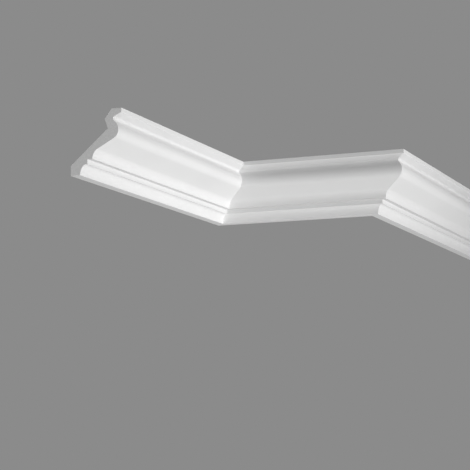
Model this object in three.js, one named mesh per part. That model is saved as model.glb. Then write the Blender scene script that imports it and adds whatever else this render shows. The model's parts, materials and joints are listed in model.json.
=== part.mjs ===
// A white ceiling cornice, mitred round two corners of a room.
// One length comes in to an inside corner, a short one crosses to an outside corner and a third runs on.
// Millimetres, +Z up. The ceiling is the plane z = 0, and the origin is on the middle length's ceiling face.
import * as THREE from 'three';

// Lengths along the wall, from corner to corner or from a corner to the square end
const leftRun = 564;
const middleRun = 301;
const rightRun = 720;

// The section as a whole, and the flats that it is fixed and finished by
const drop = 100;
const projection = 86.5;
const ceilingFlat = 17.2;
const wallFlat = 16.1;
const footFlat = 16.5;

// The face, from the ceiling down: a fillet, a small hollow, a round nose and a long flank to the ogee's foot.
// The corners are where the straight stretches would meet without their rounding.
const topFillet = 7.2;
const hollowCorner = section(69.7, 13.8);
const hollowRadius = 4.1;
const noseCorner = section(90.2, 38);
const noseRadius = 14.8;
const ogeeCorner = section(37.6, 65.2);
const ogeeRadius = 17;
const ogeeFoot = 76;

// Below the ogee: a ledge, a lower fillet, a narrow step back and the cove that ends at the foot
const lowerFilletOut = 29;
const lowerFillet = 7.5;
const coveStep = 1.6;

// The back stands clear of the room's corner: a long slope, a knee and a heel
const backKnee = section(62.8, 30.6);
const backHeel = section(57.9, 14.7);

const jointGap = 0.3;
const arcSteps = 9;

// A point of the section, by its distance out from the wall and down from the ceiling.
function section(out, down) {
  return new THREE.Vector2(out, -down);
}

// Runs on towards a corner and turns it on an arc, ready for the line to the next point.
function turnCorner(outline, corner, next, radius) {
  const back = outline.currentPoint.clone().sub(corner).normalize();
  const ahead = next.clone().sub(corner).normalize();
  const halfAngle = Math.acos(back.dot(ahead)) / 2;
  const reach = radius / Math.tan(halfAngle);
  const centre = back.clone().add(ahead).setLength(radius / Math.sin(halfAngle)).add(corner);
  const first = back.clone().multiplyScalar(reach).add(corner).sub(centre);
  const last = ahead.clone().multiplyScalar(reach).add(corner).sub(centre);
  const clockwise = back.cross(ahead) > 0;
  outline.absarc(centre.x, centre.y, radius, first.angle(), last.angle(), clockwise);
}

// The moulding's section, from the back of the ceiling face round by the front, the foot and the wall.
function makeSection() {
  const coveTop = ogeeFoot + lowerFillet;
  const coveStart = lowerFilletOut - coveStep;
  const outline = new THREE.Shape();
  outline.moveTo(projection - ceilingFlat, 0);
  outline.lineTo(projection, 0);
  outline.lineTo(projection, -topFillet);
  turnCorner(outline, hollowCorner, noseCorner, hollowRadius);
  turnCorner(outline, noseCorner, ogeeCorner, noseRadius);
  turnCorner(outline, ogeeCorner, section(ogeeCorner.x, ogeeFoot), ogeeRadius);
  outline.lineTo(ogeeCorner.x, -ogeeFoot);
  outline.lineTo(lowerFilletOut, -ogeeFoot);
  outline.lineTo(lowerFilletOut, -coveTop);
  outline.absellipse(coveStart, -drop, coveStart - footFlat, drop - coveTop, Math.PI / 2, Math.PI, false);
  outline.lineTo(0, -drop);
  outline.lineTo(0, wallFlat - drop);
  outline.lineTo(backKnee.x, backKnee.y);
  outline.lineTo(backHeel.x, backHeel.y);
  outline.closePath();
  return outline;
}

// How much an end is shortened at a distance out from the wall. Half of each joint's gap comes off each length.
const jointTrim = jointGap / Math.SQRT2;
const squareEnd = () => 0;
const insideMitre = (out) => jointTrim + out;
const outsideMitre = (out) => jointTrim - out;

// One length. It is fixed to a wall at x = 0, faces +X and runs from y = 0 towards -Y.
function makeLength(name, run, startTrim, endTrim) {
  const geometry = new THREE.ExtrudeGeometry(makeSection(), {
    depth: run,
    bevelEnabled: false,
    curveSegments: arcSteps,
  });
  const position = geometry.getAttribute('position');
  for (let i = 0; i < position.count; i += 1) {
    const out = position.getX(i);
    const atStart = position.getZ(i) === 0;
    position.setZ(i, atStart ? startTrim(out) : run - endTrim(out));
  }
  geometry.rotateX(Math.PI / 2);
  geometry.computeVertexNormals();
  const mesh = new THREE.Mesh(geometry, primedWhite);
  mesh.name = name;
  return mesh;
}

const primedWhite = new THREE.MeshStandardMaterial({ color: 0xf0f0ee, roughness: 0.55, metalness: 0 });

const left = makeLength('left_length', leftRun, insideMitre, squareEnd);

const middle = makeLength('middle_length', middleRun, outsideMitre, insideMitre);
middle.rotation.z = -Math.PI / 2;
middle.position.set(middleRun, 0, 0);

const right = makeLength('right_length', rightRun, squareEnd, outsideMitre);
right.position.set(middleRun, rightRun, 0);

// The lengths are laid out from the inside corner of the walls, then moved to put the origin on the ceiling face.
const ceilingFaceMiddle = projection - ceilingFlat / 2;
const cornice = new THREE.Group();
cornice.add(left, middle, right);
cornice.position.set(-middleRun / 2 - ceilingFaceMiddle, ceilingFaceMiddle, 0);

export default cornice;
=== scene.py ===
# %% [markdown]
# This lesson makes a white ceiling cornice, the moulding that covers the corner of a wall and a ceiling.
# The real one is a single extruded section, sawn into three lengths that meet at an inside corner and at an
# outside corner. Each length could be modelled by itself. Here one Geometry Nodes tree makes all three, so a
# change to the section or to a mitre reaches every length.
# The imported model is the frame: the script works in its metres and in its place, and never moves it.

# %% Load the frame
import json
import math

import bmesh
import bpy
from mathutils import Matrix, Vector

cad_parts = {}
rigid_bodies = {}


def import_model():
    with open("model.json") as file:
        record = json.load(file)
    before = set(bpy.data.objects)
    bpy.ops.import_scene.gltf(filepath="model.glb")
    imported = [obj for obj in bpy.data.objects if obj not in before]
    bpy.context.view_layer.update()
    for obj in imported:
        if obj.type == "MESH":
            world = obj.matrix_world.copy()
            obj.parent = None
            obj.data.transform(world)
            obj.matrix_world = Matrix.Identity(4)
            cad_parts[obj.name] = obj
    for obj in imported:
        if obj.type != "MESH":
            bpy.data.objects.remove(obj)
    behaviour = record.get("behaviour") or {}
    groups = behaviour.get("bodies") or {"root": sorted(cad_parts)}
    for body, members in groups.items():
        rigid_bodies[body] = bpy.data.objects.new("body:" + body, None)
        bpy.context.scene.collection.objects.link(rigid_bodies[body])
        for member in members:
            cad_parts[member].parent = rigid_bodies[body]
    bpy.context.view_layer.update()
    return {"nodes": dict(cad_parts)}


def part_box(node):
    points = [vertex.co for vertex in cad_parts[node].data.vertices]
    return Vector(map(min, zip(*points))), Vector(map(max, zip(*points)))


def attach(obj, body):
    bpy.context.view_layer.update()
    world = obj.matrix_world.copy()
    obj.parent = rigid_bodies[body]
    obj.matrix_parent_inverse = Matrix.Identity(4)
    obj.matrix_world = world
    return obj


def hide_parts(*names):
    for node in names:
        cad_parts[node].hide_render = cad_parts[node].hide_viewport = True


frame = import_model()
print("Nodes of the frame:", ", ".join(frame["nodes"]))

# %% [markdown]
# Each length is fixed along a wall, and the walls say where it starts and stops.
# The walls' planes could be typed in again, but then two files would have to agree for ever.
# They are read from the boxes of the frame's nodes instead, because the flat back of a length is on its wall.

# %% Find the walls and the runs between them
left_low, left_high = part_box("left_length")
_, middle_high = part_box("middle_length")
right_low, right_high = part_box("right_length")

left_wall = left_low.x
middle_wall = middle_high.y
right_wall = right_low.x

left_run = middle_wall - left_low.y
middle_run = right_wall - left_wall
right_run = right_high.y - middle_wall
print("Runs along the walls in metres:", round(left_run, 4), round(middle_run, 4), round(right_run, 4))

# %% [markdown]
# The section is the whole design of a cornice. From the ceiling down it has a fillet, a small hollow, a
# round nose, a long flank that bends into an ogee, a ledge, a lower fillet and a cove that ends at the foot.
# It could be drawn by eye as a Bezier curve. A die is cut from straight lines, arcs and part of an ellipse,
# so the section is drawn from those, by the corners where the straight lines would meet without rounding.

# %% Sizes of the section
MM = 0.001
drop = left_high.z - left_low.z
projection = left_high.x - left_low.x

# The flats at the ceiling, at the wall and under the foot
ceiling_flat = 17.2 * MM
wall_flat = 16.1 * MM
foot_flat = 16.5 * MM

# The face, from the ceiling down
top_fillet = 7.2 * MM
hollow_out = 69.7 * MM
hollow_down = 13.8 * MM
hollow_radius = 4.1 * MM
nose_out = 90.2 * MM
nose_down = 38 * MM
nose_radius = 14.8 * MM
ogee_out = 37.6 * MM
ogee_down = 65.2 * MM
ogee_radius = 17 * MM
ledge_down = 76 * MM
lower_fillet_out = 29 * MM
cove_top = 83.5 * MM
cove_step = 1.6 * MM

# The back, which stands clear of the room's corner
knee_out = 62.8 * MM
knee_down = 30.6 * MM
heel_out = 57.9 * MM
heel_down = 14.7 * MM

# The edges that look sharp are still a little round, as primed edges are, and catch a thin line of light.
arris = 0.35 * MM
print("Section: drop", round(drop, 4), "projection", round(projection, 4))


# %% The corners of the section
def corner(out, down, radius, side):
    """A corner by its distances out from the wall and down from the ceiling, its rounding and its side."""
    return Vector((out, -down)), radius, side


def cove_corners(degrees_apart=5):
    """Points on the quarter of an ellipse from the step below the lower fillet to just above the foot."""
    middle = lower_fillet_out - cove_step
    depth = middle - foot_flat
    height = drop - cove_top
    angles = [math.radians(degrees) for degrees in range(0, 90, degrees_apart)]
    return [corner(middle - depth * math.sin(a), drop - height * math.cos(a), 0, "face") for a in angles]


corners = [
    corner(projection, 0, arris, "face"),
    corner(projection, top_fillet, arris, "face"),
    corner(hollow_out, hollow_down, hollow_radius, "face"),
    corner(nose_out, nose_down, nose_radius, "face"),
    corner(ogee_out, ogee_down, ogee_radius, "face"),
    corner(ogee_out, ledge_down, arris, "face"),
    corner(lower_fillet_out, ledge_down, arris, "face"),
    corner(lower_fillet_out, cove_top, arris, "face"),
    *cove_corners(),
    corner(foot_flat, drop, arris, "face"),
    corner(0, drop, arris, "face"),
    corner(0, drop - wall_flat, arris, "back"),
    corner(knee_out, knee_down, arris, "back"),
    corner(heel_out, heel_down, arris, "back"),
    corner(projection - ceiling_flat, 0, arris, "back"),
]
print("Corners of the section:", len(corners))


# %% Turn the corners into one closed outline
def round_corner(before, point, after, radius, widest_step=math.radians(5), fewest_steps=6):
    """The arc that touches both straight stretches at a corner."""
    if radius == 0:
        return [point]
    back = (before - point).normalized()
    ahead = (after - point).normalized()
    half = back.angle(ahead) / 2
    centre = point + (back + ahead).normalized() * radius / math.sin(half)
    start = point + back * radius / math.tan(half) - centre
    turn = math.pi - 2 * half
    steps = max(fewest_steps, math.ceil(turn / widest_step))
    way = 1 if back.cross(ahead) < 0 else -1
    return [centre + Matrix.Rotation(way * turn * k / steps, 2) @ start for k in range(steps + 1)]


def draw_outline(longest=1.5 * MM):
    """Rounds every corner, then divides the straight stretches so that light shades evenly across them."""
    rounded = []
    for i, (point, radius, side) in enumerate(corners):
        before = corners[i - 1][0]
        after = corners[(i + 1) % len(corners)][0]
        rounded += [(p, side == "back") for p in round_corner(before, point, after, radius)]
    outline = []
    for (here, here_back), (there, there_back) in zip(rounded, rounded[1:] + rounded[:1]):
        outline.append((here, here_back))
        parts = math.ceil((there - here).length / longest)
        outline += [(here.lerp(there, k / parts), here_back or there_back) for k in range(1, parts)]
    return outline


# The faces of the sweep point outwards when the outline runs anticlockwise, so the order is turned round.
outline = draw_outline()[::-1]
print("Points in the outline:", len(outline))

# %% [markdown]
# The tree needs the outline as a mesh of edges, with what each point knows about itself as attributes.
# Those are how far round the section it is, which way is inwards, whether it is on the unprimed back, and
# how much painted shade it gets on the narrow underside of the ledge.
# They could be worked out again inside the tree, but here each is a short loop.

# %% Store the outline as a ring of edges
points = [point for point, _ in outline]
ring_size = len(points)
ring = [(i, (i + 1) % ring_size) for i in range(ring_size)]
section = bpy.data.meshes.new("cornice_section")
section.from_pydata([(point.x, point.y, 0) for point in points], ring, [])

girth = [0.0]
for here, there in zip(points, points[1:]):
    girth.append(girth[-1] + (there - here).length)

inward = []
for i in range(ring_size):
    along_outline = (points[(i + 1) % ring_size] - points[i - 1]).normalized()
    inward += [-along_outline.y, along_outline.x, 0]

# Painted shade under the ledge: 1 on its underside, fading to 0 over the rounding of its two edges.
ledge_painted_shade = [max(0.0, 1 - abs(point.y + ledge_down) / arris) for point in points]

section.attributes.new("girth", "FLOAT", "POINT").data.foreach_set("value", girth)
section.attributes.new("inward", "FLOAT_VECTOR", "POINT").data.foreach_set("vector", inward)
# The painted shade under the ledge goes to the material as an attribute.
section.attributes.new("ledge_painted_shade", "FLOAT", "POINT").data.foreach_set("value", ledge_painted_shade)
section.attributes.new("back", "BOOLEAN", "POINT").data.foreach_set("value", [back for _, back in outline])
print("Girth of the section in metres:", round(girth[-1], 4))


# %% [markdown]
# A few small helpers serve every tree and material below. One turns a screen colour into the linear values
# that Blender mixes light with. Another adds a node, sets it and links it in one go, so that a tree reads
# from top to bottom, and the last one starts a material.

# %% Helpers for colours and nodes
def linear(code):
    """A hex colour, such as #F2F2F0, as linear red, green, blue and alpha."""
    parts = [int(code[i:i + 2], 16) / 255 for i in (1, 3, 5)]
    return [p / 12.92 if p <= 0.04045 else ((p + 0.055) / 1.055) ** 2.4 for p in parts] + [1.0]


def add_node(tree, kind, inputs=None, **settings):
    """Adds a node with its settings. An input is a value, a socket, or a node, by its first output."""
    node = tree.nodes.new(kind)
    for name, value in settings.items():
        setattr(node, name, value)
    for name, value in (inputs or {}).items():
        if isinstance(value, bpy.types.Node):
            value = value.outputs[0]
        if isinstance(value, bpy.types.NodeSocket):
            tree.links.new(value, node.inputs[name])
        else:
            node.inputs[name].default_value = value
    return node


def new_material(name):
    """A new material with its tree and the shader that the finish is wired to."""
    material = bpy.data.materials.new(name)
    material.use_nodes = True
    return material, material.node_tree, material.node_tree.nodes["Principled BSDF"]


# A Mix node has sockets for every kind of value under the same names, so its colour sockets go by number.
MIX_A, MIX_B, MIX_COLOUR = 6, 7, 2
print("White paint in linear light:", [round(part, 3) for part in linear("#F2F2F0")])

# %% [markdown]
# The face is hard polystyrene that was pushed through a die and then sprayed with white primer.
# To the eye it is matt white. Close up, the die leaves fine lines along the length, the spray leaves a low
# orange peel, and the film is a little shinier where it is thicker. Under the ledge a painted shade greys it.
# The lines have to follow the length round the corner, so they are drawn on a map of the surface that the
# sweep stores. The orange peel has no direction, so plain Object coordinates serve for it.


# %% Extruded polystyrene, sprayed with primer
def primed_polystyrene():
    """Matt white primer over the skin of the extrusion."""
    material, tree, shader = new_material("extruded_polystyrene_sprayed_primer")
    # Real die lines and orange peel are some tenths of a millimetre wide. They are drawn coarser, to show.
    die_line_length = 260 * MM
    die_line_width = 4 * MM
    die_line_depth = 0.012 * MM
    peel_size = 6 * MM
    peel_depth = 0.03 * MM
    patch_size = 90 * MM
    thick_film_roughness = 0.50
    thin_film_roughness = 0.62
    # Noise keeps mostly between these two values.
    noise_low = 0.3
    noise_high = 0.7

    surface = add_node(tree, "ShaderNodeUVMap", uv_map="run_map")
    place = add_node(tree, "ShaderNodeTexCoord").outputs["Object"]

    drawn_out = add_node(
        tree, "ShaderNodeVectorMath",
        {0: surface, 1: (1 / die_line_length, 1 / die_line_width, 1)}, operation="MULTIPLY",
    )
    lines = add_node(tree, "ShaderNodeTexNoise", {"Vector": drawn_out, "Scale": 1, "Detail": 2})
    peel = add_node(tree, "ShaderNodeTexNoise", {"Vector": place, "Scale": 1 / peel_size, "Detail": 1})
    patches = add_node(tree, "ShaderNodeTexNoise", {"Vector": place, "Scale": 1 / patch_size, "Detail": 3})

    sprayed = add_node(
        tree, "ShaderNodeMix",
        {"Factor": patches, MIX_A: linear("#E0E0E0"), MIX_B: linear("#E4E4E4")}, data_type="RGBA",
    ).outputs[MIX_COLOUR]
    # The grey under the ledge is painted shade, for the shadow in that narrow underside. The underside is
    # hardly wider than a pixel, so the painted shade is drawn stronger, to show.
    ledge_shade_factor = add_node(tree, "ShaderNodeAttribute", attribute_name="ledge_painted_shade").outputs["Fac"]
    colour = add_node(
        tree, "ShaderNodeMix",
        {"Factor": ledge_shade_factor, MIX_A: sprayed, MIX_B: linear("#D4D4D4")}, data_type="RGBA",
    ).outputs[MIX_COLOUR]
    tree.links.new(colour, shader.inputs["Base Color"])

    gloss = add_node(
        tree, "ShaderNodeMapRange",
        {
            "Value": patches, "From Min": noise_low, "From Max": noise_high,
            "To Min": thick_film_roughness, "To Max": thin_film_roughness,
        },
    )
    tree.links.new(gloss.outputs[0], shader.inputs["Roughness"])

    lined = add_node(tree, "ShaderNodeBump", {"Height": lines, "Distance": die_line_depth})
    peeled = add_node(tree, "ShaderNodeBump", {"Height": peel, "Distance": peel_depth, "Normal": lined})
    tree.links.new(peeled.outputs[0], shader.inputs["Normal"])
    shader.inputs["IOR"].default_value = 1.48
    return material


primed_face = primed_polystyrene()
print("Face finish:", primed_face.name)

# %% [markdown]
# The back was never sprayed. It is the skin that the die left: a touch shinier, with longer and deeper
# lines, because nothing filled them. It uses the same map of the surface, with other sizes.


# %% Extruded polystyrene, as it left the die
def bare_polystyrene():
    """The skin of the extrusion, with its lines open and small bubbles under it."""
    material, tree, shader = new_material("extruded_polystyrene_bare_skin")
    # The bubbles under the skin are really under a millimetre wide. They are drawn coarser, to show.
    die_line_length = 420 * MM
    die_line_width = 5 * MM
    die_line_depth = 0.05 * MM
    bubble_size = 4 * MM
    bubble_depth = 0.02 * MM
    smooth_roughness = 0.42
    lined_roughness = 0.58

    surface = add_node(tree, "ShaderNodeUVMap", uv_map="run_map")
    place = add_node(tree, "ShaderNodeTexCoord").outputs["Object"]
    drawn_out = add_node(
        tree, "ShaderNodeVectorMath",
        {0: surface, 1: (1 / die_line_length, 1 / die_line_width, 1)}, operation="MULTIPLY",
    )
    lines = add_node(tree, "ShaderNodeTexNoise", {"Vector": drawn_out, "Scale": 1, "Detail": 4})
    bubbles = add_node(tree, "ShaderNodeTexVoronoi", {"Vector": place, "Scale": 1 / bubble_size})

    colour = add_node(
        tree, "ShaderNodeMix",
        {"Factor": lines, MIX_A: linear("#E0E0DE"), MIX_B: linear("#E9E9E7")}, data_type="RGBA",
    ).outputs[MIX_COLOUR]
    tree.links.new(colour, shader.inputs["Base Color"])

    gloss = add_node(
        tree, "ShaderNodeMapRange",
        {"Value": lines, "To Min": smooth_roughness, "To Max": lined_roughness},
    )
    tree.links.new(gloss.outputs[0], shader.inputs["Roughness"])

    lined = add_node(tree, "ShaderNodeBump", {"Height": lines, "Distance": die_line_depth})
    pitted = add_node(tree, "ShaderNodeBump", {"Height": bubbles, "Distance": bubble_depth, "Normal": lined})
    tree.links.new(pitted.outputs[0], shader.inputs["Normal"])
    shader.inputs["IOR"].default_value = 1.55
    return material


bare_back = bare_polystyrene()
print("Back finish:", bare_back.name)

# %% [markdown]
# A sawn end opens the foam. It shows a fine grain of cut cells and the shallow marks of the blade, which
# cross the section at a slant, and it is duller than the primed face because the cut is rough.
# The end is flat, so Object coordinates are enough, turned by a Mapping node to the slant of the cut.


# %% Extruded polystyrene, sawn through
def sawn_polystyrene():
    """Raw foam at a square end, with its cut cells and the marks of the saw."""
    material, tree, shader = new_material("extruded_polystyrene_sawn")
    # The real cells are about half a millimetre wide. They are drawn coarser, so that their grain shows.
    cell_size = 2.2 * MM
    cell_depth = 0.05 * MM
    saw_mark_width = 3 * MM
    saw_mark_length = 60 * MM
    saw_mark_depth = 0.06 * MM
    saw_slant = math.radians(35)
    cell_middle_roughness = 0.85
    cell_rim_roughness = 0.7

    place = add_node(tree, "ShaderNodeTexCoord").outputs["Object"]
    turned = add_node(tree, "ShaderNodeMapping", {"Vector": place, "Rotation": (0, saw_slant, 0)})
    stretched = add_node(
        tree, "ShaderNodeVectorMath",
        {0: turned, 1: (1 / saw_mark_width, 1, 1 / saw_mark_length)}, operation="MULTIPLY",
    )
    marks = add_node(tree, "ShaderNodeTexNoise", {"Vector": stretched, "Scale": 1, "Detail": 3})
    cells = add_node(tree, "ShaderNodeTexVoronoi", {"Vector": place, "Scale": 1 / cell_size})

    colour = add_node(
        tree, "ShaderNodeMix",
        {"Factor": cells, MIX_A: linear("#E2E2E2"), MIX_B: linear("#F0F0F0")}, data_type="RGBA",
    ).outputs[MIX_COLOUR]
    tree.links.new(colour, shader.inputs["Base Color"])

    gloss = add_node(
        tree, "ShaderNodeMapRange",
        {"Value": cells, "To Min": cell_middle_roughness, "To Max": cell_rim_roughness},
    )
    tree.links.new(gloss.outputs[0], shader.inputs["Roughness"])

    marked = add_node(tree, "ShaderNodeBump", {"Height": marks, "Distance": saw_mark_depth})
    celled = add_node(tree, "ShaderNodeBump", {"Height": cells, "Distance": cell_depth, "Normal": marked})
    tree.links.new(celled.outputs[0], shader.inputs["Normal"])
    shader.inputs["IOR"].default_value = 1.4
    return material


sawn_end = sawn_polystyrene()
print("Sawn finish:", sawn_end.name)

# %% [markdown]
# A length is its section drawn along its run, with each end cut square or to a mitre.
# It could be extruded and then cut with a boolean, but booleans leave long thin faces behind.
# Here the sweep is straight, and then every point slides along the run by its own distance from the wall.
# A slope of 1 for that slide is a mitre at an inside corner, -1 is a mitre at an outside corner and 0 is a
# square cut.

# %% Start the tree with its inputs
length_tree = bpy.data.node_groups.new("cornice_length", "GeometryNodeTree")
length_tree.is_modifier = True
input_kinds = {
    "Section": "NodeSocketGeometry",
    "Run": "NodeSocketFloat",
    "Start slope": "NodeSocketFloat",
    "End slope": "NodeSocketFloat",
    "Joint": "NodeSocketFloat",
    "Bevel": "NodeSocketFloat",
    "Station spacing": "NodeSocketFloat",
    "Place": "NodeSocketVector",
    "Turn": "NodeSocketVector",
    "Face finish": "NodeSocketMaterial",
    "Back finish": "NodeSocketMaterial",
    "Sawn finish": "NodeSocketMaterial",
}
identifiers = {}
for name, kind in input_kinds.items():
    socket = length_tree.interface.new_socket(name, in_out="INPUT", socket_type=kind)
    identifiers[name] = socket.identifier
length_tree.interface.new_socket("Length", in_out="OUTPUT", socket_type="NodeSocketGeometry")
given = add_node(length_tree, "NodeGroupInput").outputs
print("Inputs of the tree:", ", ".join(identifiers))

# %% [markdown]
# The sweep follows a rail with a station every two centimetres. Two stations would carry the shape, but then
# every face would be a sliver as long as the run. The rail is a plain line for now: each station only keeps
# its number, and the points go to their true places further on.

# %% Sweep the section along a rail of stations
spans = add_node(
    length_tree, "ShaderNodeMath", {0: given["Run"], 1: given["Station spacing"]}, operation="DIVIDE"
)
whole_spans = add_node(length_tree, "ShaderNodeMath", {0: spans}, operation="CEIL")
# One more station at each end makes room for the bevel of a square cut.
last_station = add_node(length_tree, "ShaderNodeMath", {0: whole_spans, 1: 2}, operation="ADD")
station_count = add_node(length_tree, "ShaderNodeMath", {0: last_station, 1: 1}, operation="ADD")

straight = add_node(length_tree, "GeometryNodeCurvePrimitiveLine", {"End": (0, 0, 1)})
stations = add_node(length_tree, "GeometryNodeResampleCurve", {"Curve": straight, "Count": station_count})
station_index = add_node(length_tree, "GeometryNodeSplineParameter").outputs["Index"]
rail = add_node(
    length_tree, "GeometryNodeStoreNamedAttribute",
    {"Geometry": stations, "Name": "station", "Value": station_index}, data_type="FLOAT", domain="POINT",
)
profile = add_node(length_tree, "GeometryNodeMeshToCurve", {"Mesh": given["Section"]})
swept = add_node(
    length_tree, "GeometryNodeCurveToMesh", {"Curve": rail, "Profile Curve": profile, "Fill Caps": True}
)
print("Nodes so far:", len(length_tree.nodes))

# %% [markdown]
# A mitre is sawn at 45 degrees, so its cut moves a millimetre along the run for each millimetre out from the
# wall, and it leaves room for half of the joint. A square cut has no slope, and its edge gets a narrow
# bevel, because a sawn edge is never quite sharp.

# %% Work out how each end is cut
station = add_node(length_tree, "GeometryNodeInputNamedAttribute", {"Name": "station"}, data_type="FLOAT")
inwards = add_node(
    length_tree, "GeometryNodeInputNamedAttribute", {"Name": "inward"}, data_type="FLOAT_VECTOR"
)
flat_place = add_node(length_tree, "GeometryNodeInputPosition")
out_from_wall = add_node(length_tree, "ShaderNodeSeparateXYZ", {"Vector": flat_place}).outputs["X"]

trim = {}
bevel = {}
for end in ("Start", "End"):
    slope = given[end + " slope"]
    mitred = add_node(length_tree, "ShaderNodeMath", {0: slope}, operation="ABSOLUTE")
    square = add_node(length_tree, "ShaderNodeMath", {0: 1, 1: mitred}, operation="SUBTRACT")
    joint = add_node(length_tree, "ShaderNodeMath", {0: mitred, 1: given["Joint"]}, operation="MULTIPLY")
    bevel[end] = add_node(
        length_tree, "ShaderNodeMath", {0: square, 1: given["Bevel"]}, operation="MULTIPLY"
    )
    mitre = add_node(
        length_tree, "ShaderNodeMath", {0: slope, 1: out_from_wall, 2: joint}, operation="MULTIPLY_ADD"
    )
    trim[end] = add_node(length_tree, "ShaderNodeMath", {0: mitre, 1: bevel[end]}, operation="ADD")

far_edge = add_node(length_tree, "ShaderNodeMath", {0: given["Run"], 1: trim["End"]}, operation="SUBTRACT")
last_full = add_node(length_tree, "ShaderNodeMath", {0: last_station, 1: 1}, operation="SUBTRACT")
between = add_node(
    length_tree, "ShaderNodeMapRange",
    {"Value": station, "From Min": 1, "From Max": last_full, "To Min": trim["Start"], "To Max": far_edge},
)
print("Nodes so far:", len(length_tree.nodes))

# %% Slide every point to its place along the run
at_start = add_node(length_tree, "ShaderNodeMath", {0: station, 1: 0.5}, operation="LESS_THAN")
at_end = add_node(length_tree, "ShaderNodeMath", {0: station, 1: last_full}, operation="GREATER_THAN")
start_bevel = add_node(
    length_tree, "ShaderNodeMath", {0: at_start, 1: bevel["Start"]}, operation="MULTIPLY"
)
end_bevel = add_node(length_tree, "ShaderNodeMath", {0: at_end, 1: bevel["End"]}, operation="MULTIPLY")
inset = add_node(length_tree, "ShaderNodeMath", {0: start_bevel, 1: end_bevel}, operation="ADD")
outset = add_node(length_tree, "ShaderNodeMath", {0: end_bevel, 1: start_bevel}, operation="SUBTRACT")
along = add_node(length_tree, "ShaderNodeMath", {0: between, 1: outset}, operation="ADD")

drawn_in = add_node(length_tree, "ShaderNodeVectorMath", {0: inwards, "Scale": inset}, operation="SCALE")
eased = add_node(length_tree, "ShaderNodeVectorMath", {0: flat_place, 1: drawn_in}, operation="ADD")
eased_parts = add_node(length_tree, "ShaderNodeSeparateXYZ", {"Vector": eased}).outputs
back_along = add_node(length_tree, "ShaderNodeMath", {0: along, 1: -1}, operation="MULTIPLY")
final_place = add_node(
    length_tree, "ShaderNodeCombineXYZ", {"X": eased_parts["X"], "Y": back_along, "Z": eased_parts["Y"]}
)
cut = add_node(length_tree, "GeometryNodeSetPosition", {"Geometry": swept, "Position": final_place})
# A mitred end has no bevel, so its first two stations fall together and are merged into one.
same_place = 0.001 * MM
merged = add_node(length_tree, "GeometryNodeMergeByDistance", {"Geometry": cut, "Distance": same_place})
print("Nodes so far:", len(length_tree.nodes))

# %% [markdown]
# The finishes need a map that follows the moulding. It holds the distance along the run and the distance
# round the section, both in metres, so a pattern keeps its true size. Curves are shaded smooth, and an edge
# that turns more than a set angle stays crisp. Last of all, the tree puts each finish on its faces.

# %% Map the surface and shade it
smooth_limit = math.radians(30)
round_section = add_node(
    length_tree, "GeometryNodeInputNamedAttribute", {"Name": "girth"}, data_type="FLOAT"
)
run_map = add_node(length_tree, "ShaderNodeCombineXYZ", {"X": along, "Y": round_section})
mapped = add_node(
    length_tree, "GeometryNodeStoreNamedAttribute",
    {"Geometry": merged, "Name": "run_map", "Value": run_map}, data_type="FLOAT2", domain="CORNER",
)
smoothed = add_node(length_tree, "GeometryNodeSetShadeSmooth", {"Geometry": mapped}, domain="FACE")
fold = add_node(length_tree, "GeometryNodeInputMeshEdgeAngle")
sharp = add_node(length_tree, "ShaderNodeMath", {0: fold, 1: smooth_limit}, operation="GREATER_THAN")
creased = add_node(
    length_tree, "GeometryNodeSetShadeSmooth",
    {"Geometry": smoothed, "Selection": sharp, "Shade Smooth": False}, domain="EDGE",
)
placed = add_node(
    length_tree, "GeometryNodeTransform",
    {"Geometry": creased, "Translation": given["Place"], "Rotation": given["Turn"]},
)
real = add_node(length_tree, "GeometryNodeRealizeInstances", {"Geometry": placed})
print("Nodes so far:", len(length_tree.nodes))

# %% Put the finishes on and end the tree
on_back = add_node(length_tree, "GeometryNodeInputNamedAttribute", {"Name": "back"}, data_type="BOOLEAN")
# The sweep has four-sided faces only, so a face with more sides closes an end.
sides = add_node(length_tree, "GeometryNodeInputMeshFaceNeighbors").outputs["Vertex Count"]
on_cut = add_node(length_tree, "ShaderNodeMath", {0: sides, 1: 4}, operation="GREATER_THAN")
finished = add_node(
    length_tree, "GeometryNodeSetMaterial", {"Geometry": real, "Material": given["Face finish"]}
)
for where, finish in ((on_back, "Back finish"), (on_cut, "Sawn finish")):
    finished = add_node(
        length_tree, "GeometryNodeSetMaterial",
        {"Geometry": finished, "Selection": where, "Material": given[finish]},
    )
add_node(length_tree, "NodeGroupOutput", {"Length": finished})
print("Nodes in the whole tree:", len(length_tree.nodes))

# %% [markdown]
# Now the tree makes the three lengths. Each starts as the bare section with the tree as its modifier, and
# ends as a plain mesh at the origin with its place in its points, as the frame wants it.
# The joints were filled and rubbed down before painting, so the lengths meet with no gap that the eye sees.

# %% Make the three lengths
joint_half_gap = 0.02 * MM
square_cut_bevel = 0.25 * MM
station_spacing = 20 * MM
INSIDE, SQUARE, OUTSIDE = 1.0, 0.0, -1.0
quarter_turn = math.pi / 2


def make_length(name, run, start, end, place, turn):
    """One length as a plain mesh. It runs from its place towards -Y before it is turned."""
    length = bpy.data.objects.new(name, section)
    bpy.context.collection.objects.link(length)
    modifier = length.modifiers.new("cornice_length", "NODES")
    modifier.node_group = length_tree
    values = {
        "Run": run,
        "Start slope": start,
        "End slope": end,
        "Joint": joint_half_gap,
        "Bevel": square_cut_bevel,
        "Station spacing": station_spacing,
        "Place": place,
        "Turn": (0, 0, turn),
        "Face finish": primed_face,
        "Back finish": bare_back,
        "Sawn finish": sawn_end,
    }
    for label, value in values.items():
        modifier[identifiers[label]] = value
    graph = bpy.context.evaluated_depsgraph_get()
    mesh = bpy.data.meshes.new_from_object(length.evaluated_get(graph), depsgraph=graph)
    length.modifiers.clear()
    mesh.name = name
    length.data = mesh
    return length


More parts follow.
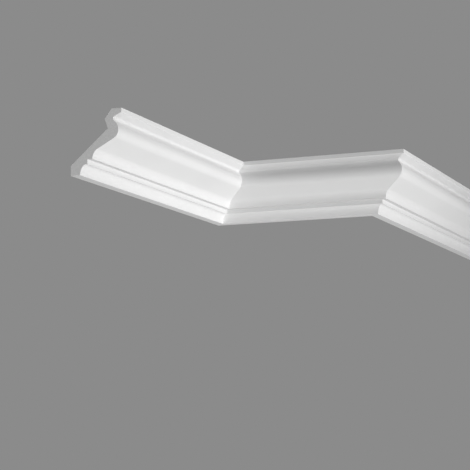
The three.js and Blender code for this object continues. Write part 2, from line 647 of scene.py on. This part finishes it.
inside_corner = (left_wall, middle_wall, 0)
outside_corner = (right_wall, middle_wall, 0)
far_right = (right_wall, right_high.y, 0)
left = make_length("left_moulding", left_run, INSIDE, SQUARE, inside_corner, 0)
middle = make_length("middle_moulding", middle_run, OUTSIDE, INSIDE, outside_corner, -quarter_turn)
right = make_length("right_moulding", right_run, SQUARE, OUTSIDE, far_right, 0)
lengths = {"left_length": left, "middle_length": middle, "right_length": right}


# %% Measure the lengths
def measure(piece):
    """Triangles, open edges and volume. The volume is positive only where the faces point outwards."""
    probe = bmesh.new()
    probe.from_mesh(piece.data)
    open_edges = sum(not edge.is_manifold for edge in probe.edges)
    triangles = len(probe.calc_loop_triangles())
    litres = probe.calc_volume(signed=True) * 1000
    probe.free()
    return triangles, open_edges, round(litres, 4)


for piece in lengths.values():
    print(piece.name, "triangles, open edges, litres:", *measure(piece))

# %% [markdown]
# Each mesh stands for the solid of the same length, which is hidden.
# It rides on the part's one body, because nothing moves.

# %% Join the lengths to the frame
for node, piece in lengths.items():
    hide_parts(node)
    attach(piece, "root")
print("Pieces on the root body:", [piece.name for piece in lengths.values()])

# %% [markdown]
# A cornice is seen from below, so the floor lies a room's height beneath it, wide enough to have no edge.
# White needs a darker ground to be read against, so a plain mid grey is all round. The floor's paint is pale,
# because in the grey light of the room it looks nearly as grey as the room itself.

# %% Lay the floor
floor_depth = 2.4
floor_radius = 60
floor_sides = 96


def pale_floor():
    """Pale matt paint with a faint, wide cloudiness."""
    material, tree, shader = new_material("matt_floor_paint")
    cloud_size = 1250 * MM
    place = add_node(tree, "ShaderNodeTexCoord").outputs["Object"]
    cloud = add_node(tree, "ShaderNodeTexNoise", {"Vector": place, "Scale": 1 / cloud_size, "Detail": 3})
    colour = add_node(
        tree, "ShaderNodeMix",
        {"Factor": cloud, MIX_A: linear("#E9E9E8"), MIX_B: linear("#EFEFEE")}, data_type="RGBA",
    ).outputs[MIX_COLOUR]
    tree.links.new(colour, shader.inputs["Base Color"])
    shader.inputs["Roughness"].default_value = 0.9
    return material


disc = bmesh.new()
bmesh.ops.create_circle(disc, cap_ends=True, radius=floor_radius, segments=floor_sides)
disc.transform(Matrix.Translation((0, 0, -floor_depth)))
floor_mesh = bpy.data.meshes.new("floor")
disc.to_mesh(floor_mesh)
disc.free()
floor_mesh.materials.append(pale_floor())
floor = bpy.data.objects.new("floor", floor_mesh)
bpy.context.collection.objects.link(floor)
print("Floor at", -floor_depth, "metres")

# %% [markdown]
# A small lamp would throw hard shadows, so every lamp is large. The main one stands low on the right, and its
# beam fades towards the right length, which makes that length a shade darker than the left one.
# A wide one lies near the floor for the undersides, and a third lights the back for the views from behind.
# The grey room itself adds an even light from all round.


# %% Light the cornice
def set_up_lamp(lamp, place, aim):
    """Stands a lamp in its place, turned to its aim and unseen by the camera."""
    stand = bpy.data.objects.new(lamp.name, lamp)
    stand.location = place
    stand.rotation_euler = (Vector(aim) - Vector(place)).to_track_quat("-Z", "Y").to_euler()
    stand.visible_camera = False
    bpy.context.collection.objects.link(stand)
    return stand


def soft_spot(name, power, radius, cone):
    """A large round lamp. Its beam fades evenly from the middle to the edge of its cone, in degrees."""
    lamp = bpy.data.lights.new(name, "SPOT")
    lamp.energy = power
    lamp.shadow_soft_size = radius
    lamp.spot_size = math.radians(cone)
    lamp.spot_blend = 1
    return lamp


def softbox(name, power, side):
    """A large square lamp, which lights a wide place evenly."""
    lamp = bpy.data.lights.new(name, "AREA")
    lamp.energy = power
    lamp.size = side
    return lamp


side_light = soft_spot("side_light", power=563, radius=1.03, cone=42)
low_light = softbox("low_light", power=22.2, side=2.4)
back_light = soft_spot("back_light", power=420, radius=0.9, cone=60)
lamps = [
    set_up_lamp(side_light, place=(2.96, -1.25, -0.80), aim=(-0.35, -0.05, -0.05)),
    set_up_lamp(low_light, place=(0.3, 0, -2.3), aim=(0.3, 0, 0)),
    set_up_lamp(back_light, place=(-2.3, 2.6, 0.9), aim=(0, 0.1, -0.05)),
]
print("Lamps:", ", ".join(f"{stand.name} {stand.data.energy:.0f} W" for stand in lamps))

# %% Fill the room with grey light
room_grey = "#8B8B8B"
world = bpy.data.worlds.new("grey_room")
world.use_nodes = True
sky = world.node_tree.nodes["Background"]
sky.inputs["Color"].default_value = linear(room_grey)
sky.inputs["Strength"].default_value = 1.0
bpy.context.scene.world = world
bpy.context.scene.view_settings.view_transform = "Standard"
print("Room colour:", room_grey)

# %% [markdown]
# The camera stands below the ceiling, to the right of the middle length, and looks up at the corners.
# Its long lens keeps the lines of the moulding nearly parallel. The angles are those of the photograph.

# %% Place the camera
lens_length = 118.36
film_width = 36
camera_place = (0.9250, -2.5371, -0.5252)
looking_up = math.radians(8.116)
turned_left = math.radians(23.188)

camera_data = bpy.data.cameras.new("camera")
camera_data.lens = lens_length
camera_data.sensor_width = film_width
camera = bpy.data.objects.new("camera", camera_data)
camera.location = camera_place
# A camera that isn't turned looks straight down, so a quarter turn makes it level.
camera.rotation_euler = (quarter_turn + looking_up, 0, turned_left)
bpy.context.collection.objects.link(camera)
bpy.context.scene.camera = camera
print("Camera at", [round(part, 3) for part in camera.location])
